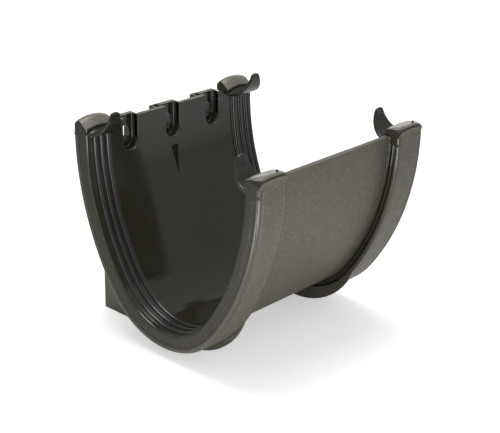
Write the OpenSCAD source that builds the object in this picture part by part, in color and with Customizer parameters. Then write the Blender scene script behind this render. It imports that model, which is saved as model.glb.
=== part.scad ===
// Gutter union: a moulded channel that joins two lengths of deep gutter and
// screws to a fascia board. Millimetres, +Z up, X along the gutter, the fascia
// on the +Y side. The origin is under the middle, level with the feet.

/* [Channel] */
// Length of the union along the gutter
union_len = 131; // [110:1:180]
// Width across the outside of the collars
union_w = 137; // [131:1:145]
// Depth of the collars below the line where the sides start to curve
bowl_depth = 107; // [103:1:112]
// Height of the straight top edge above that line
lip_rise = 3.2; // [3:0.1:5]
// Thickness of the channel wall
wall_t = 2.8; // [2.4:0.1:3]
// Step from the collar's outside in to the channel's outside
wall_inset = 6.4; // [6.2:0.1:7]

/* [Collars] */
// Length of each collar along the gutter
collar_len = 21; // [20:0.5:26]
// Thickness of the collar's outer band
band_t = 2.2; // [1.6:0.1:2.6]
// Distance of the parting groove from the collar's edge
groove_in = 2.9; // [2.4:0.1:4]
// Depth of the parting groove
groove_d = 0.4; // [0.2:0.1:0.6]
// Thickness of the web that carries the outer band
band_web_t = 3; // [2:0.5:5]
// Width of the moulded slot behind the band at the collar's mouth
mouth_slot_w = 2; // [1.5:0.1:2.2]
// Thickness of the collar ring, from the outside to the lip
ring_t = 10; // [9.8:0.1:10.6]
// Length of the lip at the collar's mouth
lip_len = 3.6; // [2.5:0.1:4.5]
// Step out of the wall where it enters the collar
wall_step = 0.8; // [0.4:0.1:1.2]
// Bevel on the mouth of the lip
lip_bevel = 0.7; // [0.3:0.1:1.2]

/* [Seals] */
// Width of each seal along the gutter
seal_w = 14.2; // [13:0.1:15]
// Thickness of the seal's backing strip
seal_t = 1.6; // [1.2:0.1:1.8]
// Number of ribs on a seal
rib_count = 3; // [2:1:4]
// Distance between ribs
rib_pitch = 4.6; // [3.6:0.1:4.7]
// Radius of a rib's crest
rib_r = 1.1; // [0.8:0.1:1.4]
// Gap round the seal in its seat
seal_gap = 0.15; // [0.05:0.05:0.3]

/* [Clips] */
// Height of the middle of a clip cap above the straight top edge
cap_rise = 6.4; // [5:0.2:8]
// Radius of the dome along a cap
cap_dome_r = 29; // [24:1:50]
// Depth of the cap's skirt below the straight top edge
cap_skirt = 1.7; // [1:0.1:2.5]
// Radius of the cap's outer shoulder
cap_round = 3.4; // [2:0.2:4]
// Overhang of the front caps
brow = 1.2; // [0:0.1:2]
// Thickness of the spring tongue
tongue_t = 1.8; // [1.4:0.1:2.4]
// Depth of the tongue's root below the straight top edge
tongue_dip = 4.6; // [4:0.1:6]
// Radius of the curl at the middle of the tongue's thickness
tongue_curl_r = 12.5; // [11:0.5:14]
// Height of the tongue's tip above the straight top edge
tongue_rise = 10.6; // [9.4:0.2:12]
// Radius of the tongue's rounded tip
tongue_tip_r = 4.6; // [4.4:0.2:5.6]
// Width of the tongue at its root
tongue_w = 18.4; // [18:0.2:19]
// Width that the tongue's sides run in to at its tip
leaf_top_w = 4.4; // [4:0.2:5]

/* [Screw pockets] */
// Number of screw pockets
pocket_count = 3; // [1:2:3]
// Distance between screw pockets
pocket_pitch = 32.4; // [26:0.2:33]
// Width of a pocket
pocket_w = 11; // [9:0.5:12]
// Height of a pocket below the straight top edge
pocket_h = 19.2; // [17:0.2:24]
// Depth of a pocket from the channel's inside face
pocket_d = 5; // [4.4:0.1:5.4]
// Thickness of the moulded shell round a pocket
pocket_shell = 1.6; // [1.2:0.1:2.2]
// Width of the open cell beside each pocket
cell_w = 5.2; // [4:0.1:6]
// Width of the screw slot
slot_w = 5; // [4:0.1:6]
// Length of the screw slot
slot_len = 9; // [8:0.2:10]
// Depth of the slot's middle below the straight top edge
slot_drop = 10.7; // [10:0.1:11]
// Width of the arrow mark under the middle pocket
arrow_w = 5.3; // [3:0.1:8]
// Height of the arrow mark
arrow_h = 16.5; // [8:0.5:24]
// Drop from the straight top edge to the arrow mark
arrow_drop = 23.7; // [22.6:0.1:30]
// Depth of the arrow mark
arrow_d = 0.6; // [0.2:0.1:1]

/* [Feet] */
// Thickness of each foot web
foot_t = 2.2; // [1.8:0.1:4]
// Drop of the feet below the collars
foot_drop = 5.4; // [3:0.2:8]
// Drop from the straight top edge to the top of each foot web's back edge
foot_top_drop = 26; // [20:1:60]
// Radius of the front heel of the feet
foot_r = 44.8; // [42:0.2:46]

/* [Hidden] */
$fn = 128;
eps = 0.01;
// Half sizes, and the basket-handle outline: the centres of its side arcs and
// of its bottom arc are the corners of a 3-4-5 triangle
half_len = union_len / 2;
half_w = union_w / 2;
centre_unit = (bowl_depth - half_w) / 2;
bottom_r = half_w - centre_unit;
bottom_y = 3 * centre_unit;
side_y = 4 * centre_unit;
side_r = bottom_r + 5 * centre_unit;
join_a = atan2(3, 4);
// Lap of two sweeps along the same arc
lap_a = 1;
lift = bowl_depth + foot_drop;
// Insets from the collar's outside
inner_inset = wall_inset + wall_t;
seat_inset = inner_inset - seal_t / 2 - 0.4;
mouth_inset = band_t + mouth_slot_w;
collar_in = half_len - collar_len;
collar_mid = half_len - collar_len / 2;
seat_start = half_len - lip_len;
seat_end = seat_start - seal_w - 2 * seal_gap;
// Heights that meet under the clip caps
cap_low = lip_rise - cap_skirt;
cap_top = lip_rise + cap_rise;
tongue_tip_z = lip_rise + tongue_rise;
tongue_out_r = tongue_curl_r + tongue_t / 2;
tongue_in_r = tongue_curl_r - tongue_t / 2;
root_y = half_w - ring_t + 0.3;
root_low = lip_rise - tongue_dip;
curl_z = root_low + tongue_out_r;
seat_top = root_low - 0.3;
seal_top = seat_top - seal_gap;
// Screw pockets
pocket_back = half_w - inner_inset + pocket_d;
shell_back = pocket_back + pocket_shell + 1;
slot_z = lip_rise - slot_drop;
arrow_top = lip_rise - arrow_drop;

// Sweeps a section round the basket-handle outline and up its straight sides.
// In the section, x is the distance inward as a negative number and y lies
// along the gutter.
module swept(top) {
  rotate([90, 0, 90]) {
    swept_side(top) children();
    mirror([1, 0, 0]) swept_side(top) children();
  }
}

// One side: half of the bottom arc, the long side arc, and the straight part
// above it. Each arc starts at a joint, and two sweeps along one arc lap. A top
// below the straight part cuts the side arc short.
module swept_side(top) {
  translate([0, -bottom_y, 0])
    rotate([0, 0, -join_a])
      mirror([0, 1, 0])
        rotate_extrude(angle = 90 - join_a + lap_a)
          translate([bottom_r, 0]) children();
  translate([-side_y, 0, 0]) {
    rotate([0, 0, -join_a])
      rotate_extrude(angle = top < 0 ? join_a - asin(-top / side_r) : join_a / 2 + lap_a)
        translate([side_r, 0]) children();
    if (top > 0)
      mirror([0, 1, 0])
        rotate_extrude(angle = join_a / 2 + lap_a)
          translate([side_r, 0]) children();
  }
  if (top > 0)
    translate([half_w, top, 0])
      rotate([90, 0, 0])
        linear_extrude(top) children();
}

// Section of the plain channel wall
module wall_section() {
  translate([-inner_inset, -half_len + lip_len / 2])
    square([wall_t, union_len - lip_len]);
}

// Section of the right-hand collar: a banded, slotted ring
module collar_section() {
  bead_r = band_t / 2;
  difference() {
    union() {
      translate([-band_t, collar_in + bead_r]) square([band_t, collar_len - band_t]);
      translate([-bead_r, collar_in + bead_r]) circle(bead_r);
      translate([-bead_r, half_len - bead_r]) circle(bead_r);
    }
    parting_groove(half_len - groove_in);
    parting_groove(collar_in + groove_in);
  }
  translate([-wall_inset - eps, collar_mid - band_web_t / 2])
    square([wall_inset - band_t / 2, band_web_t]);
  translate([-wall_inset, collar_in + wall_step]) circle(wall_step);
  translate([-seat_inset, collar_in + wall_step])
    square([seat_inset - wall_inset + wall_step, collar_len / 2]);
  polygon([
    [-mouth_inset, collar_mid],
    [-mouth_inset, half_len],
    [-ring_t + lip_bevel, half_len],
    [-ring_t, half_len - lip_bevel],
    [-ring_t, seat_start],
    [-seat_inset, seat_start],
    [-seat_inset, collar_mid]
  ]);
}

// The thin V groove where the smooth bead meets the textured band
module parting_groove(at) {
  polygon([[eps, at - groove_d], [-groove_d, at], [eps, at + groove_d]]);
}

// Section of the seat that the seal lies in
module seat_section() {
  translate([-ring_t - 1, seat_end])
    square([ring_t + 1 - seat_inset, seat_start - seat_end]);
}

// Section of a seal: a backing strip with rounded ribs
module seal_section() {
  mid = seat_start - seal_gap - seal_w / 2;
  back = seat_inset + seal_gap;
  translate([-back - seal_t, mid - seal_w / 2]) square([seal_t, seal_w]);
  for (i = [0 : rib_count - 1])
    translate([-back - seal_t, mid + (i - (rib_count - 1) / 2) * rib_pitch])
      circle(rib_r);
}

// Both ends of a thing made for the right-hand end
module both_ends() {
  children();
  mirror([1, 0, 0]) children();
}

// Lays a front or rear outline, drawn as [distance from the middle, height],
// across one collar
module along_collar(from, to) {
  translate([from, 0, 0]) rotate([90, 0, 90]) linear_extrude(to - from) children();
}

// Cap of a clip on the rear side: a domed pad with a rounded shoulder
module cap(overhang) {
  out = half_w + overhang;
  inner = root_y - 0.3;
  dome_z = cap_top - cap_dome_r;
  intersection() {
    along_collar(collar_in, half_len) {
      translate([out - cap_round, cap_top - cap_round - 1]) circle(cap_round);
      polygon([
        [inner, cap_low],
        [half_w - 0.2, cap_low],
        [out, cap_top - cap_round - 1],
        [out - cap_round, cap_top - 1],
        [out - cap_round - 1.5, cap_top + 0.2],
        [inner, cap_top - 1.2]
      ]);
    }
    translate([collar_mid, out + 1, dome_z])
      rotate([90, 0, 0]) cylinder(h = out + 2 - inner, r = cap_dome_r);
    cap_plan(inner - 1, out);
  }
}

// Plan outline of a cap, with its outer corners rounded
module cap_plan(inner, out) {
  corner_r = cap_round * 1.2;
  translate([0, 0, cap_low - 1]) linear_extrude(cap_rise + cap_skirt + 2) {
    translate([collar_in, inner]) square([collar_len, out - corner_r - inner]);
    translate([collar_in + corner_r, inner])
      square([collar_len - 2 * corner_r, out - inner]);
    for (x = [collar_in + corner_r, half_len - corner_r])
      translate([x, out - corner_r]) circle(corner_r);
  }
}

// Spring tongue on the rear side: a strip curled up from the cap's foot and
// cut to a leaf shape
module tongue() {
  intersection() {
    mirror([0, 1, 0])
      translate([0, -2 * root_y, 0])
        along_collar(collar_in, half_len)
          translate([root_y, curl_z]) curl();
    leaf();
  }
  root_w = tongue_w - 0.4;
  translate([collar_mid - root_w / 2, root_y, root_low])
    cube([root_w, half_w - inner_inset - root_y + 1, cap_low - root_low + 1]);
}

// Side view of the tongue: a quarter ring that ends in a short upright
module curl() {
  intersection() {
    difference() {
      circle(tongue_out_r);
      circle(tongue_in_r);
    }
    translate([0, -2 * tongue_out_r]) square(2 * tongue_out_r);
  }
  translate([tongue_in_r, -eps]) square([tongue_t, tongue_tip_z - curl_z]);
}

// Leaf outline seen along Y: a straight-sided fin whose top is cut round
module leaf() {
  tip_z = tongue_tip_z - tongue_tip_r;
  base_z = root_low - 0.5;
  translate([collar_mid, half_w, 0]) rotate([90, 0, 0]) linear_extrude(half_w)
    intersection() {
      polygon([
        [-tongue_w / 2, base_z],
        [tongue_w / 2, base_z],
        [leaf_top_w / 2, tongue_tip_z],
        [-leaf_top_w / 2, tongue_tip_z]
      ]);
      union() {
        translate([0, tip_z]) circle(tongue_tip_r);
        translate([-tongue_w, base_z - 1]) square([2 * tongue_w, tip_z - base_z + 1]);
      }
    }
}

// Solid seen from the end: the basket handle at a given inset, open at the top
module outline(inset) {
  join_x = side_r * cos(join_a) - side_y;
  join_z = -side_r * sin(join_a);
  intersection() {
    translate([-side_y, 0]) circle(side_r - inset);
    translate([side_y, 0]) circle(side_r - inset);
    translate([-half_w, join_z]) square([2 * half_w, -join_z + half_w]);
  }
  intersection() {
    translate([0, -bottom_y]) circle(bottom_r - inset);
    translate([-join_x, -2 * bowl_depth]) square([2 * join_x, 2 * bowl_depth + join_z + eps]);
  }
}

// Foot web: a flat plate under one collar that squares it off to the fascia
// and rounds up at the front
module foot() {
  rotate([90, 0, 90])
    translate([0, 0, collar_in])
      linear_extrude(foot_t)
        difference() {
          union() {
            translate([0, -lift + foot_r]) circle(foot_r);
            translate([0, -lift]) square([half_w, lift + lip_rise - foot_top_drop]);
          }
          outline(band_t / 2);
        }
}

// U shape of a pocket seen from the front, drawn down from the top edge
module u_shape(width, height) {
  translate([-width / 2, lip_rise - height + width / 2])
    square([width, height - width / 2]);
  translate([0, lip_rise - height + width / 2]) circle(width / 2);
}

// Stands an outline seen from the front between two depths
module stood(from, to) {
  translate([0, to, 0]) rotate([90, 0, 0]) linear_extrude(to - from) children();
}

// What a screw pocket adds behind the wall: a shell and an open cell beside it
module pocket_shell_solid() {
  front = half_w - wall_inset - wall_t / 2;
  cell_low = lip_rise - pocket_h + pocket_w / 2;
  stood(front - 0.6, shell_back)
    u_shape(pocket_w + 2 * pocket_shell, pocket_h + pocket_shell);
  difference() {
    translate([-pocket_w / 2 - cell_w, front - 0.4, cell_low])
      cube([cell_w, shell_back - front + 0.4, lip_rise - cell_low]);
    translate([
      -pocket_w / 2 - cell_w + pocket_shell - 0.2,
      half_w - wall_inset + 0.2,
      cell_low + pocket_shell
    ])
      cube([
        cell_w - 2 * pocket_shell + 0.2,
        shell_back - half_w + wall_inset - pocket_shell,
        lip_rise
      ]);
  }
}

// What a screw pocket cuts away: the pocket and the slot in its back
module pocket_cut() {
  stood(half_w - 2 * ring_t, pocket_back) {
    u_shape(pocket_w, pocket_h);
    translate([-pocket_w / 2, lip_rise - eps]) square([pocket_w, 2]);
  }
  stood(pocket_back - 1, shell_back + 1) {
    for (end = [-1, 1])
      translate([0, slot_z + end * (slot_len - slot_w) / 2]) circle(slot_w / 2);
    translate([-slot_w / 2, slot_z - (slot_len - slot_w) / 2])
      square([slot_w, slot_len - slot_w]);
  }
}

// Arrow mark let into the inside of the wall
module arrow_cut() {
  intersection() {
    swept(-1)
      translate([-inner_inset - 1, -arrow_w]) square([1 + arrow_d, 2 * arrow_w]);
    stood(half_w / 2, half_w)
      polygon([
        [-arrow_w / 2, arrow_top],
        [arrow_w / 2, arrow_top],
        [0, arrow_top - arrow_h]
      ]);
  }
}

// Every screw pocket in the row
module each_pocket() {
  for (i = [0 : pocket_count - 1])
    translate([(i - (pocket_count - 1) / 2) * pocket_pitch, 0, 0]) children();
}

// The moulded body: channel, collars, clips, feet and screw pockets
module union_body() {
  color([0.26, 0.25, 0.21])
    translate([0, 0, lift])
      difference() {
        union() {
          swept(lip_rise) {
            wall_section();
            collar_section();
            mirror([0, 1]) collar_section();
          }
          both_ends() {
            cap(0);
            tongue();
            foot();
            mirror([0, 1, 0]) {
              cap(brow);
              tongue();
            }
          }
          each_pocket() pocket_shell_solid();
        }
        swept(seat_top) {
          seat_section();
          mirror([0, 1]) seat_section();
        }
        each_pocket() pocket_cut();
        arrow_cut();
      }
}

// A rubber seal, for the right-hand end
module seal() {
  color([0.07, 0.07, 0.07])
    translate([0, 0, lift])
      swept(seal_top) seal_section();
}

module right_seal() {
  seal();
}

module left_seal() {
  mirror([1, 0, 0]) seal();
}

union_body();
left_seal();
right_seal();
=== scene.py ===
import math

import bmesh
import bpy
from mathutils import Matrix, Vector


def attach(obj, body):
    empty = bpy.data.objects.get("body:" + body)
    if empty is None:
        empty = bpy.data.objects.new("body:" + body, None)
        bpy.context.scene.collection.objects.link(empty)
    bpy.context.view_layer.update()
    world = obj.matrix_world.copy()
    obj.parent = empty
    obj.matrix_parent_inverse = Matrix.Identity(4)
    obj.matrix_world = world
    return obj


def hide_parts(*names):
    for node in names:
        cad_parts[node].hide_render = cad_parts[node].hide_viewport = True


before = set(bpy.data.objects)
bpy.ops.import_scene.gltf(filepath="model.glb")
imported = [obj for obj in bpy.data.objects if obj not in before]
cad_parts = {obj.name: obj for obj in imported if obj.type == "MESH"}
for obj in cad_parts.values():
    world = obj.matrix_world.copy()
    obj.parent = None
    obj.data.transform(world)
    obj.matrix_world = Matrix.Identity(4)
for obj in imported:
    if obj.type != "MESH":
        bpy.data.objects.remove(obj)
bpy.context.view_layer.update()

# Camera. The lens, place and turn were solved from the collars' outlines in
# the photograph, so the union fills the frame as it does there.
camera = bpy.data.objects.new("camera", bpy.data.cameras.new("camera"))
bpy.context.scene.collection.objects.link(camera)
camera.data.sensor_width = 36
camera.data.lens = 89.42
camera_right = Vector((0.6825, -0.7306, 0.0188)).normalized()
camera_back = Vector((-0.6803, -0.6257, 0.3816)).normalized()
camera_up = camera_back.cross(camera_right).normalized()
camera_right = camera_up.cross(camera_back)
camera.matrix_world = Matrix.Translation((-0.47102, -0.43582, 0.32872)) @ Matrix(
    (camera_right, camera_up, camera_back)
).transposed().to_4x4()
bpy.context.scene.camera = camera

# Finishes of the moulded shell. The outside is textured in the mould to look
# like painted cast iron; the inside and the rolled edges come out smooth.


def node_in(tree, kind, **values):
    """Adds a shader node and sets its unlinked inputs by name"""
    made = tree.nodes.new(kind)
    for name, value in values.items():
        made.inputs[name.replace("_", " ")].default_value = value
    return made


def colour_mix(tree, mask, low, high):
    """Mixes two colour outputs by a map-range mask and gives the mixed output"""
    made = tree.nodes.new("ShaderNodeMix")
    made.data_type = "RGBA"
    ends = {s.identifier: s for s in made.inputs}
    tree.links.new(mask.outputs["Result"], ends["Factor_Float"])
    tree.links.new(low, ends["A_Color"])
    tree.links.new(high, ends["B_Color"])
    return next(s for s in made.outputs if s.identifier == "Result_Color")


def grain_group():
    """Shader group for the mould's cast-iron grain: mottled colour, roughness and height"""
    tree = bpy.data.node_groups.new("cast_iron_grain", "ShaderNodeTree")
    face = tree.interface
    for name in ("Main Colour", "Warm Colour", "Speck Colour"):
        face.new_socket(name, in_out="INPUT", socket_type="NodeSocketColor")
    for name in ("Grain Scale", "Roughness Low", "Roughness High"):
        face.new_socket(name, in_out="INPUT", socket_type="NodeSocketFloat")
    face.new_socket("Colour", in_out="OUTPUT", socket_type="NodeSocketColor")
    face.new_socket("Roughness", in_out="OUTPUT", socket_type="NodeSocketFloat")
    face.new_socket("Height", in_out="OUTPUT", socket_type="NodeSocketFloat")
    link = tree.links.new
    source = tree.nodes.new("NodeGroupInput")
    result = tree.nodes.new("NodeGroupOutput")
    place = tree.nodes.new("ShaderNodeTexCoord")
    pebble = node_in(tree, "ShaderNodeTexNoise", Detail=2.5, Roughness=0.6)
    fine = node_in(tree, "ShaderNodeTexNoise", Detail=2.0, Roughness=0.7)
    fine_scale = node_in(tree, "ShaderNodeMath")
    fine_scale.operation = "MULTIPLY"
    fine_scale.inputs[1].default_value = 2.3
    patch = node_in(tree, "ShaderNodeTexNoise", Scale=220.0, Detail=3.0, Roughness=0.65)
    link(source.outputs["Grain Scale"], pebble.inputs["Scale"])
    link(source.outputs["Grain Scale"], fine_scale.inputs[0])
    link(fine_scale.outputs["Value"], fine.inputs["Scale"])
    for texture in (pebble, fine, patch):
        link(place.outputs["Object"], texture.inputs["Vector"])
    warm_mask = node_in(tree, "ShaderNodeMapRange", From_Min=0.42, From_Max=0.62)
    link(patch.outputs["Fac"], warm_mask.inputs["Value"])
    warm = colour_mix(tree, warm_mask, source.outputs["Main Colour"], source.outputs["Warm Colour"])
    speck_mask = node_in(tree, "ShaderNodeMapRange", From_Min=0.56, From_Max=0.72)
    link(pebble.outputs["Fac"], speck_mask.inputs["Value"])
    speck = colour_mix(tree, speck_mask, warm, source.outputs["Speck Colour"])
    link(speck, result.inputs["Colour"])
    rough = node_in(tree, "ShaderNodeMapRange", From_Min=0.35, From_Max=0.65)
    link(fine.outputs["Fac"], rough.inputs["Value"])
    link(source.outputs["Roughness Low"], rough.inputs["To Min"])
    link(source.outputs["Roughness High"], rough.inputs["To Max"])
    link(rough.outputs["Result"], result.inputs["Roughness"])
    height = node_in(tree, "ShaderNodeMath")
    height.operation = "MULTIPLY_ADD"
    height.inputs[1].default_value = 0.35
    link(fine.outputs["Fac"], height.inputs[0])
    link(pebble.outputs["Fac"], height.inputs[2])
    link(height.outputs["Value"], result.inputs["Height"])
    return tree


cast_iron_grain = grain_group()


def moulded(name, main, warm, speck, scale, rough, bump, depth):
    """A moulded plastic finish: three colours, grain scale, roughness range and relief"""
    made = bpy.data.materials.new(name)
    made.use_nodes = True
    tree = made.node_tree
    shader = tree.nodes["Principled BSDF"]
    shader.inputs["IOR"].default_value = 1.5
    grain = tree.nodes.new("ShaderNodeGroup")
    grain.node_tree = cast_iron_grain
    grain.inputs["Main Colour"].default_value = (*main, 1)
    grain.inputs["Warm Colour"].default_value = (*warm, 1)
    grain.inputs["Speck Colour"].default_value = (*speck, 1)
    grain.inputs["Grain Scale"].default_value = scale
    grain.inputs["Roughness Low"].default_value = rough[0]
    grain.inputs["Roughness High"].default_value = rough[1]
    relief = tree.nodes.new("ShaderNodeBump")
    relief.inputs["Strength"].default_value = bump
    relief.inputs["Distance"].default_value = depth
    tree.links.new(grain.outputs["Colour"], shader.inputs["Base Color"])
    tree.links.new(grain.outputs["Roughness"], shader.inputs["Roughness"])
    tree.links.new(grain.outputs["Height"], relief.inputs["Height"])
    tree.links.new(relief.outputs["Normal"], shader.inputs["Normal"])
    return made


grained = moulded(
    "grained_plastic", (0.070, 0.069, 0.047), (0.092, 0.073, 0.055), (0.17, 0.165, 0.13),
    900.0, (0.36, 0.54), 0.6, 0.00035,
)
ring_face = moulded(
    "ring_face_plastic", (0.027, 0.028, 0.020), (0.033, 0.029, 0.022), (0.080, 0.078, 0.060),
    1100.0, (0.38, 0.52), 0.45, 0.00025,
)
ring_face.node_tree.nodes["Principled BSDF"].inputs["Specular IOR Level"].default_value = 0.22
gloss = moulded(
    "gloss_plastic", (0.022, 0.0215, 0.014), (0.024, 0.021, 0.014), (0.026, 0.025, 0.017),
    90.0, (0.07, 0.11), 0.10, 0.00025,
)
smooth_edge = moulded(
    "smooth_edge_plastic", (0.052, 0.050, 0.037), (0.060, 0.052, 0.040), (0.085, 0.080, 0.066),
    800.0, (0.13, 0.22), 0.30, 0.0002,
)
rim = moulded(
    "rim_plastic", (0.075, 0.070, 0.056), (0.080, 0.070, 0.056), (0.10, 0.095, 0.08),
    900.0, (0.48, 0.62), 0.3, 0.0002,
)
mark = moulded(
    "mark_plastic", (0.008, 0.008, 0.006), (0.009, 0.008, 0.006), (0.010, 0.010, 0.008),
    900.0, (0.50, 0.60), 0.2, 0.0001,
)
mark.node_tree.nodes["Principled BSDF"].inputs["Specular IOR Level"].default_value = 0.12

# The moulded shell: the channel wall and both banded collars, one section
# swept round a basket handle. Moulded in one piece with everything below
# except the seals.
MM = 0.001
half_len = 65.5
half_w = 68.5
bowl_depth = 107.0
lip_rise = 3.2
foot_drop = 5.4
lift = bowl_depth + foot_drop
centre_unit = (bowl_depth - half_w) / 2
bottom_r = half_w - centre_unit
side_r = bottom_r + 5 * centre_unit
join_a = math.atan2(3, 4)
collar_in = half_len - 21.0
collar_mid = half_len - 10.5
band_t = 2.2
wall_out = 6.4
wall_in = 9.2
ring_in = 10.0
seat_in = 8.0
seat_start = half_len - 3.6
seat_end = seat_start - 14.5


def arc_points(centre, radius, start, end, steps):
    """Points along a circle's arc, with both ends"""
    angles = [start + (end - start) * i / steps for i in range(steps + 1)]
    return [(centre[0] + radius * math.cos(a), centre[1] + radius * math.sin(a)) for a in angles]


def handle_path(top):
    """The collars' outside seen from the end, from front top to rear top, as (y, z) in mm"""
    low_cut = math.asin(-top / side_r) if top < 0 else 0.0
    side = arc_points((-4 * centre_unit, 0), side_r, -join_a, -low_cut, 44)
    bottom = arc_points((0, -3 * centre_unit), bottom_r, -math.pi / 2, -join_a, 30)
    rear = bottom[:-1] + side
    if top > 0:
        # The straight part leans by 4 microns, as an upright line gives the sweep's normal no direction.
        lean = 0.004
        rear[-1] = (half_w - lean, 0.0)
        rear += [(half_w - lean * (1 - k / 3), top * k / 3) for k in (1, 2, 3)]
    front = [(-y, z) for y, z in reversed(rear[1:])]
    return front + rear


def rounded(points, steps=4):
    """A closed outline whose (x, y, radius) corners are rounded"""
    made = []
    for i, point in enumerate(points):
        here = Vector(point[:2])
        before = Vector(points[i - 1][:2]) - here
        after = Vector(points[(i + 1) % len(points)][:2]) - here
        reach = min(point[2], before.length * 0.48, after.length * 0.48)
        if reach <= 0:
            made.append(tuple(here))
            continue
        start = here + before.normalized() * reach
        end = here + after.normalized() * reach
        for k in range(steps + 1):
            t = k / steps
            made.append(tuple(start * (1 - t) ** 2 + here * 2 * t * (1 - t) + end * t * t))
    return made


def shown(name, mesh):
    """Links a mesh to the scene as an object"""
    made = bpy.data.objects.new(name, mesh)
    bpy.context.scene.collection.objects.link(made)
    return made


def line_object(name, points, closed):
    """A bare loop or chain of edges for a sweep to follow"""
    mesh = bpy.data.meshes.new(name)
    count = len(points)
    edges = [(i, (i + 1) % count) for i in range(count if closed else count - 1)]
    mesh.from_pydata(points, edges, [])
    return shown(name, mesh)


def sweep_tree():
    """Geometry Nodes tree that carries a section along a path, both drawn in mm"""
    tree = bpy.data.node_groups.new("basket_handle_sweep", "GeometryNodeTree")
    face = tree.interface
    face.new_socket("Path", in_out="INPUT", socket_type="NodeSocketGeometry")
    face.new_socket("Section", in_out="INPUT", socket_type="NodeSocketObject")
    face.new_socket("Finish", in_out="INPUT", socket_type="NodeSocketMaterial")
    face.new_socket("Unit", in_out="INPUT", socket_type="NodeSocketFloat")
    face.new_socket("Swept", in_out="OUTPUT", socket_type="NodeSocketGeometry")
    add = tree.nodes.new
    link = tree.links.new
    source = add("NodeGroupInput")
    path = add("GeometryNodeMeshToCurve")
    upright = add("GeometryNodeSetCurveNormal")
    upright.mode = "Z_UP"
    section = add("GeometryNodeObjectInfo")
    outline = add("GeometryNodeMeshToCurve")
    sweep = add("GeometryNodeCurveToMesh")
    sweep.inputs["Fill Caps"].default_value = True
    size = add("GeometryNodeTransform")
    real = add("GeometryNodeRealizeInstances")
    finish = add("GeometryNodeSetMaterial")
    result = add("NodeGroupOutput")
    link(source.outputs["Path"], path.inputs["Mesh"])
    link(path.outputs["Curve"], upright.inputs["Curve"])
    link(source.outputs["Section"], section.inputs["Object"])
    link(section.outputs["Geometry"], outline.inputs["Mesh"])
    link(upright.outputs["Curve"], sweep.inputs["Curve"])
    link(outline.outputs["Curve"], sweep.inputs["Profile Curve"])
    link(sweep.outputs["Mesh"], size.inputs["Geometry"])
    link(source.outputs["Unit"], size.inputs["Scale"])
    link(size.outputs["Geometry"], real.inputs["Geometry"])
    link(real.outputs["Geometry"], finish.inputs["Geometry"])
    link(source.outputs["Finish"], finish.inputs["Material"])
    link(finish.outputs["Geometry"], result.inputs["Swept"])
    return tree


def plain(name, source, helpers=()):
    """Turns an object with modifiers into a plain mesh object at the origin"""
    bpy.context.view_layer.update()
    graph = bpy.context.evaluated_depsgraph_get()
    mesh = bpy.data.meshes.new_from_object(source.evaluated_get(graph))
    for old in [source, *helpers]:
        bpy.data.objects.remove(old)
    mesh.name = name
    return shown(name, mesh)


def tidy_shell(mesh):
    """Merges doubles and turns every face outwards"""
    work = bmesh.new()
    work.from_mesh(mesh)
    bmesh.ops.remove_doubles(work, verts=work.verts, dist=1e-6)
    bmesh.ops.recalc_face_normals(work, faces=work.faces)
    work.to_mesh(mesh)
    work.free()


basket_handle_sweep = sweep_tree()


def swept(name, section, top, finish, unit):
    """Sweeps a section of (x, inset) points round the basket handle"""
    path = line_object(name + "_path", [(0, y, z + lift) for y, z in handle_path(top)], False)
    outline = line_object(name + "_section", [(x, -inset, 0) for x, inset in section], True)
    modifier = path.modifiers.new("sweep", "NODES")
    modifier.node_group = basket_handle_sweep
    sockets = {
        s.name: s.identifier for s in basket_handle_sweep.interface.items_tree if s.in_out == "INPUT"
    }
    modifier[sockets["Section"]] = outline
    modifier[sockets["Finish"]] = finish
    modifier[sockets["Unit"]] = unit
    made = plain(name, path, [outline])
    tidy_shell(made.data)
    return made


def collar_half():
    """The right half of the shell's section as (x, inset, corner radius) points"""
    bead = 1.45
    groove_in = 2.9
    groove_d = 0.4
    cove_x = collar_in + 2.6
    cove_in = wall_out - 0.8
    valley_d = 0.9
    valley_in = 3.3
    face_in = 4.7
    lip_edge = 1.1
    points = [(0, wall_out, 0), (collar_in, wall_out, 0.25), (collar_in, cove_in, 0.6)]
    points += [(cove_x, cove_in, 1.0), (cove_x, 2 * bead, 0.8)]
    points += [(collar_in + bead, 2 * bead, 0)]
    turns = [math.pi * k / 12 for k in range(1, 12)]
    points += [(collar_in + bead - bead * math.sin(a), bead + bead * math.cos(a), 0) for a in turns]
    points.append((collar_in + bead, 0, 0))
    for at in (collar_in + groove_in, half_len - groove_in):
        points += [(at - groove_d, 0, 0.15), (at, groove_d, 0.1), (at + groove_d, 0, 0.15)]
    points.append((half_len - bead, 0, 0))
    points += [(half_len - bead + bead * math.sin(a), bead - bead * math.cos(a), 0) for a in turns[:8]]
    points += [(half_len - valley_d, valley_in, 0.9), (half_len, face_in, 0.8)]
    points += [(half_len, ring_in - lip_edge, 0.6), (half_len - lip_edge, ring_in, 0.6)]
    points += [(seat_start, ring_in, 0.2), (seat_start, seat_in, 0.2)]
    points += [(seat_end, seat_in, 0.2), (seat_end, wall_in, 0.3)]
    return points


right_half = collar_half()
left_half = [(-x, inset, r) for x, inset, r in reversed(right_half[1:])]
shell = swept("channel_shell", rounded(right_half + left_half), lip_rise, gloss, 1.0)

# The screw pockets: three U-shaped recesses in the rear wall, each with a
# moulded cup behind it, an upright screw slot through the cup's back, and an
# open cell beside it where the mould was cored out.
pocket_pitch = 32.4
pocket_w = 11.0
pocket_low = lip_rise - 19.2
pocket_back = half_w - wall_in + 5.0
cup_wall = 1.6
cup_back = pocket_back + cup_wall + 2.1
cup_front = half_w - wall_out - 2.0
cell_low = pocket_low + pocket_w / 2


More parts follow.
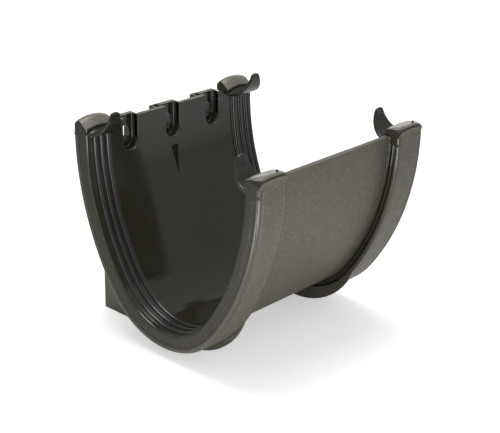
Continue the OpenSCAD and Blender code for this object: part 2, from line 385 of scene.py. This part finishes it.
def loft(name, rings):
    """A closed mesh through rings of equally many points"""
    count = len(rings[0])
    faces = [tuple(range(count)), tuple(range(len(rings) * count - 1, (len(rings) - 1) * count - 1, -1))]
    for i in range(len(rings) - 1):
        for k in range(count):
            n = (k + 1) % count
            faces.append((i * count + k, (i + 1) * count + k, (i + 1) * count + n, i * count + n))
    mesh = bpy.data.meshes.new(name)
    mesh.from_pydata([p for ring in rings for p in ring], [], faces)
    tidy_shell(mesh)
    return mesh


def joined(name, meshes, moves=None):
    """One mesh made of several, each moved by its own matrix"""
    work = bmesh.new()
    for i, mesh in enumerate(meshes):
        part = mesh.copy()
        if moves:
            part.transform(moves[i])
        work.from_mesh(part)
        bpy.data.meshes.remove(part)
    bmesh.ops.recalc_face_normals(work, faces=work.faces)
    made = bpy.data.meshes.new(name)
    work.to_mesh(made)
    work.free()
    return made


def grown(points, by):
    """A closed (x, y) outline moved outwards along its own normals"""
    area = sum(
        points[i - 1][0] * points[i][1] - points[i][0] * points[i - 1][1] for i in range(len(points))
    )
    way = by if area > 0 else -by
    made = []
    for i, point in enumerate(points):
        ahead = Vector(points[(i + 1) % len(points)][:2]) - Vector(point[:2])
        behind = Vector(point[:2]) - Vector(points[i - 1][:2])
        along = (ahead.normalized() + behind.normalized()).normalized()
        spread = max(along.dot(ahead.normalized()), 0.5)
        made.append((point[0] + along.y * way / spread, point[1] - along.x * way / spread))
    return made


def u_outline(width, low, high):
    """A U seen from the front, as (x, z) points from its top left corner"""
    r = width / 2
    bend = arc_points((0, low + r), r, math.pi, 2 * math.pi, 24)
    sides = 6
    left = [(-r, high + (low + r - high) * k / sides) for k in range(sides)]
    right = [(r, low + r + (high - low - r) * k / sides) for k in range(1, sides + 1)]
    return left + bend + right


def inner_face(z):
    """How far back the rear wall's inner face is at a height"""
    return -4 * centre_unit + math.sqrt((side_r - wall_in) ** 2 - min(z, 0.0) ** 2)


def round_over(radius, steps):
    """(distance in, distance out) pairs along a rounded edge"""
    turns = [math.pi / 2 * k / steps for k in range(steps + 1)]
    return [(radius * (1 - math.cos(t)), radius * (1 - math.sin(t))) for t in turns]


def hole(outline, back, edge, floor_edge):
    """A cutter that sinks an outline into the rear wall, with softened edges"""
    clear = 4
    rings = [[(x, inner_face(z) - clear, z + lift) for x, z in grown(outline, edge)]]
    for deep, wide in round_over(edge, 4):
        rings.append([(x, inner_face(z) + deep, z + lift) for x, z in grown(outline, wide)])
    for deep, wide in reversed(round_over(floor_edge, 3)):
        rings.append([(x, back(z) - deep, z + lift) for x, z in grown(outline, -wide)])
    return loft("hole", rings)


def cut(target, name, cutter):
    """Cuts a closed mesh out of an object"""
    tool = shown(name + "_tool", cutter)
    modifier = target.modifiers.new("cut", "BOOLEAN")
    modifier.operation = "DIFFERENCE"
    modifier.solver = "EXACT"
    modifier.object = tool
    tool.hide_render = True
    return plain(name, target, [tool])


row = [Matrix.Translation((i * pocket_pitch, 0, 0)) for i in (-1, 0, 1)]
pocket_hole = hole(
    u_outline(pocket_w, pocket_low, lip_rise + 2), lambda z: pocket_back, 0.35, 0.5
)
shell = cut(shell, "channel_shell", joined("pocket_holes", [pocket_hole] * 3, row))

arrow_top = lip_rise - 23.7
arrow_w = 5.3
arrow_h = 16.5
arrow_d = 0.6
arrow_corners = [(arrow_w / 2, arrow_top), (-arrow_w / 2, arrow_top), (0, arrow_top - arrow_h)]
arrow = []
for start, end in zip(arrow_corners, arrow_corners[1:] + arrow_corners[:1]):
    arrow += [tuple(Vector(start).lerp(Vector(end), k / 10)) for k in range(10)]
shell = cut(shell, "channel_shell", hole(arrow, lambda z: inner_face(z) + arrow_d, 0.12, 0.1))


def finished(piece, finishes, choose=None, angle=35):
    """Smooths a piece, gives each face its finish, and fixes it to the body"""
    mesh = piece.data
    mesh.materials.clear()
    for finish in finishes:
        mesh.materials.append(finish)
    for polygon in mesh.polygons:
        polygon.material_index = choose(polygon) if choose else 0
    mesh.transform(Matrix.Scale(MM, 4))
    mesh.shade_smooth()
    mesh.set_sharp_from_angle(angle=math.radians(angle))
    name = piece.name
    weigh = piece.modifiers.new("even_shading", "WEIGHTED_NORMAL")
    weigh.keep_sharp = True
    weigh.weight = 100
    piece = plain(name, piece)
    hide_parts("union_body")
    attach(piece, "root")


def inset_of(y, z):
    """Distance inwards from the collars' outside"""
    if z >= 0:
        return half_w - abs(y)
    if 0.6 * abs(y) + 0.8 * (z + 3 * centre_unit) < 0:
        return bottom_r - math.hypot(y, z + 3 * centre_unit)
    return side_r - math.hypot(abs(y) + 4 * centre_unit, z)


def shell_finish(polygon):
    """0 grained, 1 gloss, 2 smooth edge, 3 ring face, 4 top rim, 5 arrow mark"""
    x, y, z = polygon.center
    along = abs(x)
    deep = inset_of(y, z - lift)
    if along < collar_in - 0.05:
        if polygon.normal.z > 0.9 and z > lift + 3:
            return 4
        if wall_in - 0.9 < deep < wall_in - 0.3 and along < arrow_w and z < arrow_top + lift + 0.1:
            return 5
        return 0 if deep < (wall_out + wall_in) / 2 else 1
    if deep < band_t + 0.6:
        return 0 if collar_in + 2.6 < along < half_len - 2.6 and deep < 0.7 else 2
    if deep > seat_in - 0.1 and along < half_len - 1.0:
        return 1
    return 3 if along > collar_mid else 1


finished(shell, [grained, gloss, smooth_edge, ring_face, rim, mark], shell_finish)

cup_ring = u_outline(pocket_w + 2 * cup_wall, pocket_low - cup_wall, lip_rise - 0.05)
cup_rings = [[(x, cup_front, z + lift) for x, z in cup_ring]]
cup_rings += [
    [(x, cup_back - deep, z + lift) for x, z in grown(cup_ring, -wide)]
    for deep, wide in reversed(round_over(0.6, 4))
]
cups = shown("cups", joined("cups", [loft("cup", cup_rings)] * 3, row))
cups = cut(cups, "cups", joined("cup_holes", [pocket_hole] * 3, row))
slot_z = lip_rise - 10.7
slot_r = 2.5
slot_reach = 2.0
slot_edge = 0.35
slot_ring = arc_points((0, slot_z + slot_reach), slot_r, 0, math.pi, 14)
slot_ring += arc_points((0, slot_z - slot_reach), slot_r, math.pi, 2 * math.pi, 14)
slot_hole = loft("slot_hole", [
    [(x, y, z + lift) for x, z in grown(slot_ring, wide)]
    for y, wide in (
        (pocket_back - 1, slot_edge), (pocket_back, slot_edge), (pocket_back + 0.12, 0.12),
        (pocket_back + slot_edge, 0), (cup_back + 1, 0),
    )
])
cups = cut(cups, "cups", joined("slot_holes", [slot_hole] * 3, row))


def box_ring(low, high, z, by=0.0):
    """A round-cornered rectangle at one height, from two (x, y) corners"""
    corners = [(low[0], low[1]), (high[0], low[1]), (high[0], high[1]), (low[0], high[1])]
    ring = rounded([(x, y, 0.5) for x, y in corners])
    return [(x, y, z + lift) for x, y in grown(ring, by)]


cell_w = 5.2
cell_wall = 1.4
cell_out = ((-pocket_w / 2 - cell_w, cup_front + 0.3), (-pocket_w / 2, cup_back))
cell_in = (
    (cell_out[0][0] + cell_wall, half_w - wall_out + 0.2),
    (cell_out[1][0] - cup_wall, cup_back - cup_wall),
)
cell_top = lip_rise - 0.05
cell = loft("cell", [
    box_ring(*cell_out, cell_low, -0.4), box_ring(*cell_out, cell_low + 0.4),
    box_ring(*cell_out, cell_top - 0.35), box_ring(*cell_out, cell_top - 0.1, -0.1),
    box_ring(*cell_out, cell_top, -0.35), box_ring(*cell_in, cell_top, 0.25),
    box_ring(*cell_in, cell_top - 0.25), box_ring(*cell_in, cell_low + cup_wall),
])
cells = joined("cells", [cell] * 3, row)
pockets = shown("pocket_cups", joined("pocket_cups", [cups.data, cells]))
bpy.data.objects.remove(cups)
finished(
    pockets, [gloss, grained, rim],
    lambda p: 2 if p.normal.z > 0.5 and p.center.z > lift + 2 else int(p.center.y > cup_back - 0.7),
)

# The clip caps: four pillow-shaped pads that close the tops of the collars,
# where the gutter's edge snaps in. Moulded with the collars, and smoother than
# their grained bands.
# The caps' up-facing tops: their lower roughness is the smoother finish, and their colour, about twice
# as light as the bands, is painted light from above.
cap_top_painted_light = moulded(
    "cap_plastic", (0.136, 0.131, 0.103), (0.148, 0.129, 0.102), (0.22, 0.21, 0.17),
    800.0, (0.26, 0.38), 0.22, 0.0002,
)
tongue_gloss = moulded(
    "tongue_plastic", (0.019, 0.019, 0.014), (0.022, 0.019, 0.014), (0.022, 0.021, 0.016),
    260.0, (0.20, 0.28), 0.05, 0.0002,
)
cap_low = lip_rise - 1.7
cap_top = lip_rise + 5.5
cap_inner = half_w - ring_in


def cap_mesh(overhang):
    """The cap of the rear right corner, lofted along the gutter; an overhung one has a flatter top"""
    dome_r = 80.0 if overhang else 29.0
    end_r = 3.2 if overhang else 1.5
    inner_drop = 1.3 if overhang else 4.1
    crown_drop = 0.1 if overhang else 0.6
    crown_r = 2.5 if overhang else 4.0
    roll_drop = 1.2 if overhang else 2.4
    roll_r = 0.6 if overhang else 2.4
    edge = 0.9
    plan_r = edge + overhang
    half_cap = half_len - collar_mid - 0.04
    stops = [half_cap - edge * (1 - math.cos(math.pi / 2 * k / 5)) for k in range(6)]
    stops += [half_cap - edge - (half_cap - edge) * k / 12 for k in range(1, 13)]
    rings = []
    for x in [-s for s in stops] + list(reversed(stops[:-1])):
        near_end = max(abs(x) - (half_cap - edge), 0)
        soft = edge - math.sqrt(max(edge ** 2 - near_end ** 2, 0))
        drop = dome_r - math.sqrt(dome_r ** 2 - x ** 2)
        near_fall = max(abs(x) - (half_cap - end_r), 0)
        near_corner = max(abs(x) - (half_cap - plan_r), 0)
        back_off = plan_r - math.sqrt(max(plan_r ** 2 - near_corner ** 2, 0))
        top = cap_top - drop - soft
        fall = end_r - math.sqrt(end_r ** 2 - near_fall ** 2)
        out = half_w + overhang - back_off - soft
        points = [
            (cap_inner - 2.2, cap_low - 1.3, 0.2),
            (cap_inner - 1.7, cap_low - 0.7, 0.6),
            (cap_inner + 0.9, top - 5.9, 0.8),
            (cap_inner + soft, top - 5.3, 0.5),
            (cap_inner + soft + 0.3, top - inner_drop, 1.2),
            (cap_inner + 4.6, top - crown_drop - 0.3 * fall, 4.0),
            (out - 2.4, top - 0.8 * fall, crown_r),
            (out, top - fall - roll_drop, roll_r),
            (out - 0.2 - 0.7 * overhang, top - 3.6 - 0.4 * fall, 1.6),
            (half_w - 0.12 - min(back_off, 0.2), cap_low - 3.2, 0.4),
        ]
        rings.append([(collar_mid + x, y, z + lift) for y, z in rounded(points, 6)])
    return loft("cap", rings)


def round_ring(radius, z):
    """A flat ring of points round the z axis"""
    return [(x, y, z) for x, y in arc_points((0, 0), radius, 0, 2 * math.pi, 16)[:-1]]


rear = Matrix.Identity(4)
front = Matrix.Scale(-1, 4, (0, 1, 0))
left = Matrix.Scale(-1, 4, (1, 0, 0))
rear_cap = cap_mesh(0)
front_cap = cap_mesh(0.8)
corners = [rear, left, front, front @ left]
# A small gate nub is left on each front cap, at the same end of both.
nub_top = lift + cap_top + 0.9
nub_x = 5.3
nub_y = -65.4
nub = loft("nub", [
    round_ring(0.7, nub_top - 2.0), round_ring(0.6, nub_top - 0.4), round_ring(0.4, nub_top),
])
nubs = joined("nubs", [nub, nub], [
    Matrix.Translation((side * collar_mid + nub_x, nub_y, 0)) for side in (1, -1)
])
caps = shown("clip_caps", joined(
    "clip_caps", [rear_cap, rear_cap, front_cap, front_cap, nubs], corners + [rear],
))


def cap_part(polygon):
    """0 smooth top, lighter as painted light; 1 ends, and the front pair's rolled edge as painted shade;
    2 grained side, 3 neck
    """
    x, y, z = polygon.center
    normal = polygon.normal
    # The ends share the ring face's own colour; the front caps' rolled edge takes that darker colour as
    # painted shade under the top's edge.
    if abs(normal.x) > 0.7 or (y < 2.4 - half_w and 0.15 < normal.z < 0.9):
        return 1
    # Faces turned upwards take the lighter top colour, painted light.
    if z > lift + 2 and normal.z > 0.25:
        return 0
    return 3 if abs(y) < cap_inner + 1.6 else 2


finished(caps, [cap_top_painted_light, ring_face, grained, tongue_gloss], cap_part)

# The spring tongues: thin leaves that curl up from under the caps and press
# on the gutter's edge. Moulded with the collars, with a gloss from the mould.
tongue_t = 1.8
curl_r = 12.5
root_drop = 4.6
root_y = half_w - ring_in + 0.3
root_z = lip_rise - root_drop + tongue_t / 2
root_half = 9.2
taper = 7 / 15.7
tip_z = lip_rise + 10.6
tip_r = 4.6
tip_edge = 1.2
thinnest = 0.25


def tongue_mesh():
    """The tongue of the rear right corner, lofted along its curl"""
    path = [(root_y + 1.2, root_z, 0, -1), (root_y + 0.6, root_z, 0, -1)]
    for k in range(25):
        a = math.pi / 2 * k / 24
        path.append((root_y - curl_r * math.sin(a), root_z + curl_r * (1 - math.cos(a)),
                     -math.sin(a), -math.cos(a)))
    rise = tip_z - root_z - curl_r
    turns = [math.pi / 2 * k / 6 for k in range(7)]
    path += [(root_y - curl_r, root_z + curl_r + rise * math.sin(t), -1, 0) for t in turns[1:]]
    rings = []
    for y, z, out_y, out_z in path:
        wide = root_half - (z - root_z + tongue_t / 2) * taper
        into_tip = z - (tip_z - tip_r)
        if into_tip > 0:
            wide = min(wide, math.sqrt(max(tip_r ** 2 - into_tip ** 2, 0.0)))
        wide = max(wide, thinnest)
        into_edge = max((z - tip_z + tip_edge) / tip_edge, 0.0)
        thick = tongue_t / 2 * max(math.sqrt(max(1 - into_edge ** 2, 0.0)), thinnest)
        signs = ((-1, -1), (1, -1), (1, 1), (-1, 1))
        ring = rounded([(i * wide, j * thick, thick * 0.9) for i, j in signs], 5)
        rings.append([
            (collar_mid + across, y + out_y * out, z + out_z * out + lift) for across, out in ring
        ])
    return loft("tongue", rings)


tongue = tongue_mesh()
tongues = shown("spring_tongues", joined("spring_tongues", [tongue] * 4, corners))
finished(tongues, [tongue_gloss], None, 45)

# The foot webs: flat plates under the inner edge of each collar that square
# it off against the fascia and round up at the front. Moulded with the body.
foot_t = 2.2
foot_r = 44.8
foot_top = lip_rise - 26.0
sunk = band_t / 2


def foot_outline():
    """The web seen from the end, as (y, z) points"""
    heel = [
        (foot_r * math.cos(a), -bowl_depth - foot_drop + foot_r + foot_r * math.sin(a))
        for a in [-math.pi / 2 - math.pi / 2 * k / 48 for k in range(49)]
    ]
    heel = [p for p in heel if inset_of(*p) < sunk]
    outer = [(half_w, foot_top), (half_w, -bowl_depth - foot_drop)]
    outer += [(half_w * (1 - k / 8), -bowl_depth - foot_drop) for k in range(1, 8)]
    path = [(y, z) for y, z in handle_path(-1) if y > heel[-1][0] + 0.5 and (y < 0 or z < foot_top)]
    inner = []
    for y, z in path:
        if 0.6 * abs(y) + 0.8 * (z + 3 * centre_unit) < 0:
            centre, r = Vector((0, -3 * centre_unit)), bottom_r
        else:
            centre, r = Vector((-math.copysign(4 * centre_unit, y), 0)), side_r
        inner.append(tuple(centre + (Vector((y, z)) - centre) * ((r - sunk) / r)))
    return outer + heel + inner


foot_ring = foot_outline()
foot_edge = [(0, -0.3), (0.09, -0.09), (0.3, 0)]
foot = loft("foot", [
    [(collar_in + x, y, z + lift) for y, z in grown(foot_ring, by)]
    for x, by in foot_edge + [(foot_t - x, by) for x, by in reversed(foot_edge)]
])
feet = shown("foot_webs", joined("foot_webs", [foot] * 2, [rear, left]))
finished(feet, [smooth_edge])

# The seals: a black rubber strip with three ribs, laid in the seat of each
# collar. A separate moulding, so it has a piece of its own at each end.
rubber = bpy.data.materials.new("seal_rubber_black")
rubber.use_nodes = True
rubber_nodes = rubber.node_tree
rubber_shader = rubber_nodes.nodes["Principled BSDF"]
rubber_shader.inputs["Specular IOR Level"].default_value = 0.7
rubber_place = rubber_nodes.nodes.new("ShaderNodeTexCoord")
rubber_bloom = node_in(rubber_nodes, "ShaderNodeTexNoise", Scale=260.0, Detail=4.0, Roughness=0.6)
rubber_colour = rubber_nodes.nodes.new("ShaderNodeValToRGB")
rubber_colour.color_ramp.elements[0].color = (0.010, 0.010, 0.008, 1)
rubber_colour.color_ramp.elements[1].color = (0.022, 0.022, 0.018, 1)
rubber_gloss = node_in(rubber_nodes, "ShaderNodeMapRange", To_Min=0.20, To_Max=0.28)
rubber_bump = node_in(rubber_nodes, "ShaderNodeBump", Strength=0.08, Distance=0.0001)
for source, target in (
    (rubber_place.outputs["Object"], rubber_bloom.inputs["Vector"]),
    (rubber_bloom.outputs["Fac"], rubber_colour.inputs["Fac"]),
    (rubber_bloom.outputs["Fac"], rubber_gloss.inputs["Value"]),
    (rubber_bloom.outputs["Fac"], rubber_bump.inputs["Height"]),
    (rubber_colour.outputs["Color"], rubber_shader.inputs["Base Color"]),
    (rubber_gloss.outputs["Result"], rubber_shader.inputs["Roughness"]),
    (rubber_bump.outputs["Normal"], rubber_shader.inputs["Normal"]),
):
    rubber_nodes.links.new(source, target)
seal_gap = 0.15
seal_half = 7.1
seal_mid = seat_start - seal_gap - seal_half
seal_back = seat_in + seal_gap
seal_face = seal_back + 1.6
seal_top = lip_rise - root_drop - 0.3 - seal_gap
rib_r = 1.1
rib_pitch = 4.6
seal_points = [(seal_mid + seal_half, inset, 0.25) for inset in (seal_back, seal_face)]
for rib in (1, 0, -1):
    bend = arc_points((seal_mid + rib * rib_pitch, seal_face), rib_r, 0, math.pi, 14)
    seal_points += [(x, inset, 0) for x, inset in bend]
seal_points += [(seal_mid - seal_half, inset, 0.25) for inset in (seal_face, seal_back)]
for side, way in (("right", 1), ("left", -1)):
    strip = [(x * way, inset) for x, inset in rounded(seal_points)]
    seal = swept(side + "_seal_strip", strip, seal_top, rubber, MM)
    seal.data.shade_smooth()
    seal.data.set_sharp_from_angle(angle=math.radians(35))
    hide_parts(side + "_seal")
    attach(seal, "root")

# The studio: a white floor and a white surround for the camera, soft lamps
# overhead and to the sides, and low strips whose light the beads and the seal
# ribs catch. Not part of the object.
floor_reach = 6
floor_corners = [(x * floor_reach, y * floor_reach, 0) for x, y in ((-1, -1), (1, -1), (1, 1), (-1, 1))]
floor_mesh = bpy.data.meshes.new("floor")
floor_mesh.from_pydata(floor_corners, [], [(0, 1, 2, 3)])
floor = shown("floor", floor_mesh)
white = bpy.data.materials.new("white_floor")
white.use_nodes = True
nodes = white.node_tree.nodes
links = white.node_tree.links
paint = nodes["Principled BSDF"]
paint.inputs["Base Color"].default_value = (0.86, 0.86, 0.86, 1)
paint.inputs["Roughness"].default_value = 0.9
glow = nodes.new("ShaderNodeEmission")
glow.inputs["Strength"].default_value = 0.45
seen = nodes.new("ShaderNodeLightPath")
lit = nodes.new("ShaderNodeAddShader")
chosen = nodes.new("ShaderNodeMixShader")
links.new(paint.outputs["BSDF"], lit.inputs[0])
links.new(glow.outputs["Emission"], lit.inputs[1])
links.new(seen.outputs["Is Camera Ray"], chosen.inputs["Fac"])
links.new(paint.outputs["BSDF"], chosen.inputs[1])
links.new(lit.outputs["Shader"], chosen.inputs[2])
links.new(chosen.outputs["Shader"], nodes["Material Output"].inputs["Surface"])
floor_mesh.materials.append(white)

world = bpy.data.worlds.new("studio")
bpy.context.scene.world = world
world.use_nodes = True
sky = world.node_tree
soft = sky.nodes["Background"]
soft.inputs["Color"].default_value = (1, 1, 1, 1)
soft.inputs["Strength"].default_value = 0.45
plain_white = sky.nodes.new("ShaderNodeBackground")
plain_white.inputs["Strength"].default_value = 1.0
plain_white.inputs["Color"].default_value = (1, 1, 1, 1)
ray = sky.nodes.new("ShaderNodeLightPath")
either = sky.nodes.new("ShaderNodeMixShader")
sky.links.new(ray.outputs["Is Camera Ray"], either.inputs["Fac"])
sky.links.new(soft.outputs["Background"], either.inputs[1])
sky.links.new(plain_white.outputs["Background"], either.inputs[2])
sky.links.new(either.outputs["Shader"], sky.nodes["World Output"].inputs["Surface"])


def lamp(name, place, aim, width, height, watts):
    """A soft rectangular lamp that looks at a point and isn't seen itself"""
    made = bpy.data.objects.new(name, bpy.data.lights.new(name, "AREA"))
    made.data.shape = "RECTANGLE"
    made.data.size = width
    made.data.size_y = height
    made.data.energy = watts
    made.location = place
    made.visible_camera = False
    made.rotation_euler = (Vector(aim) - Vector(place)).to_track_quat("-Z", "Y").to_euler()
    bpy.context.scene.collection.objects.link(made)


lamp("overhead", (0.05, 0.15, 0.95), (0, 0, 0.06), 0.7, 0.5, 5.5)
lamp("front_fill", (0.35, -0.95, 0.55), (0, 0, 0.06), 0.6, 0.4, 1.0)
lamp("near_bead_strip", (-0.185, -0.195, 0.024), (-0.065, -0.069, 0.1), 0.05, 0.045, 0.14)
lamp("far_bead_strip", (-0.08, -0.20, 0.024), (0.045, -0.069, 0.1), 0.035, 0.045, 0.08)
lamp("rib_strip", (-0.205, -0.03, 0.021), (-0.06, 0.05, 0.08), 0.115, 0.034, 0.11)
lamp("back_strip", (0.75, 0.7, 0.42), (0, 0, 0.09), 0.7, 0.16, 1.4)

bpy.context.scene.view_settings.view_transform = "Standard"
